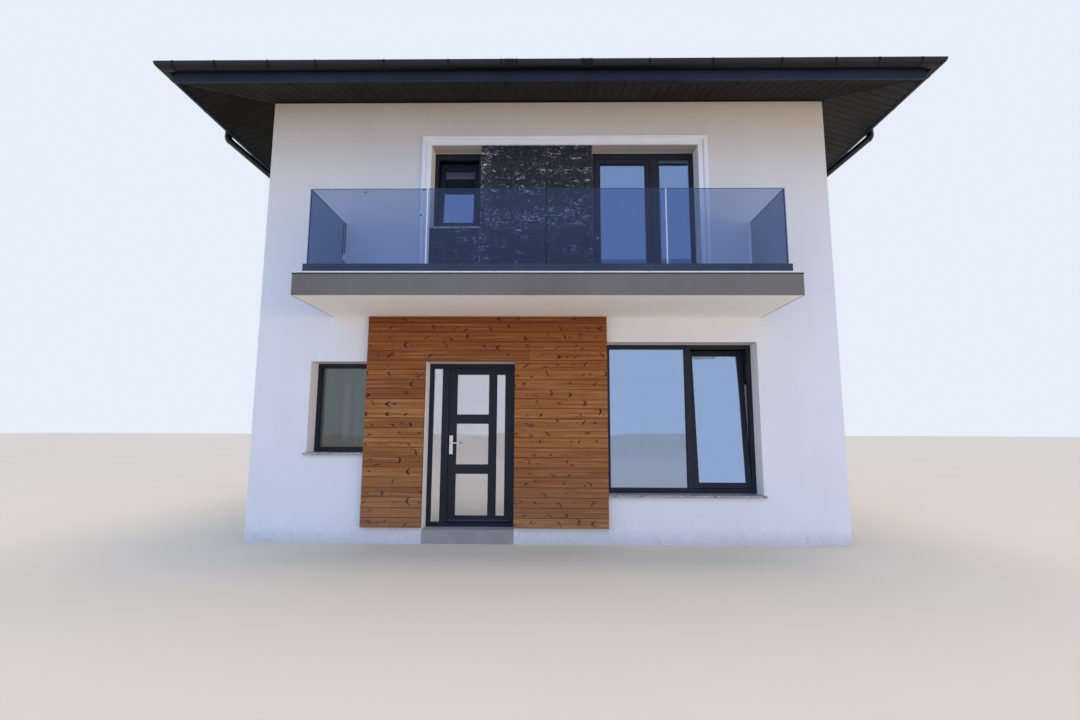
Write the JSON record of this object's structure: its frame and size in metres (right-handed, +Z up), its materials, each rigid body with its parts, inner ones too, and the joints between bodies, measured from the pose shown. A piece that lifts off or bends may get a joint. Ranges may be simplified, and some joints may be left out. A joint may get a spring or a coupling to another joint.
{
  "type": "detached house",
  "caption": "Modern detached house with white rendered walls, timber-clad entrance, glass-railed balcony and a low dark hip roof with deep eaves; the entrance door and its lever move.",
  "frame": {"origin": "centre of the footprint at the lowest ground level, under the walls", "axes": "+Z up, -Y out of the front with the entrance, +X to the right of someone facing the front"},
  "size_m": [9.676, 11.609, 7.4913],
  "materials": {
    "white_render": "fine-grained white exterior render, matte",
    "concrete": "plain concrete with a power-floated finish",
    "floor_screed": "pale screed",
    "larch_boards": "oiled horizontal softwood boards with dark knots",
    "black_stone": "black stone with white veins, honed",
    "cream_render": "smooth cream-white render",
    "grey_render": "fine grey render",
    "white_tile": "pale tile, satin",
    "anthracite_aluminium": "anthracite powder coat, satin",
    "railing_glass": "clear laminated glass with a blue-grey tint",
    "window_glass": "clear double glazing",
    "door_anthracite": "anthracite foil, satin",
    "frame_anthracite": "anthracite foil with fine grain, satin",
    "satin_steel": "satin brushed",
    "granite": "speckled grey-pink granite, polished",
    "roof_metal": "dark grey profiled sheet, matte coat",
    "soffit_metal": "dark grey lamella boards, matte coat",
    "gutter_metal": "dark grey coated steel, satin"
  },
  "bodies": {
    "house": {"ground_floor_slab": "concrete", "upper_floor_slab": "floor_screed", "ceiling_slab": "concrete", "front_wall_left": "white_render", "front_wall_right": "white_render", "front_wall_over_door": "white_render", "front_wall_upper": "white_render", "back_wall": "white_render", "left_wall": "white_render", "right_wall": "white_render", "ring_beam": "white_render", "wood_cladding_left": "larch_boards", "wood_cladding_right": "larch_boards", "wood_cladding_over_door": "larch_boards", "stone_cladding": "black_stone", "window_surround": "white_render", "balcony_slab": "cream_render", "balcony_edge_band": "grey_render", "balcony_drip_edge": "anthracite_aluminium", "balcony_floor": "white_tile", "railing_channel": "anthracite_aluminium", "railing_glass": "railing_glass", "door_frame": "door_anthracite", "ground_window_frames": "frame_anthracite", "upper_window_frames": "frame_anthracite", "window_sashes": "frame_anthracite", "front_glass": "window_glass", "side_windows": "frame_anthracite", "back_windows": "frame_anthracite", "side_and_back_glass": "window_glass", "window_sills": "granite", "roof_front": "roof_metal", "roof_back": "roof_metal", "roof_left": "roof_metal", "roof_right": "roof_metal", "roof_caps": "roof_metal", "soffit": "soffit_metal", "fascia": "soffit_metal", "gutters": "gutter_metal", "downpipes": "gutter_metal"},
    "entrance_door": {"door_leaf": "door_anthracite", "door_glass": "window_glass", "door_plates": "satin_steel"},
    "door_lever": {"door_lever": "satin_steel"}
  },
  "joints": [
    {"name": "entrance_door_swing", "type": "hinge", "parent": "house", "child": "entrance_door", "pos_m": [-0.449, -4.385, 1.247], "axis": [0, 0, -1], "range_deg": [0, 90]},
    {"name": "door_lever_turn", "type": "hinge", "parent": "entrance_door", "child": "door_lever", "pos_m": [-1.269, -4.425, 1.254], "axis": [0, 1, 0], "range_deg": [0, 40], "stiffness_Nm_per_rad": 2, "springref_deg": -20.05}
  ]
}
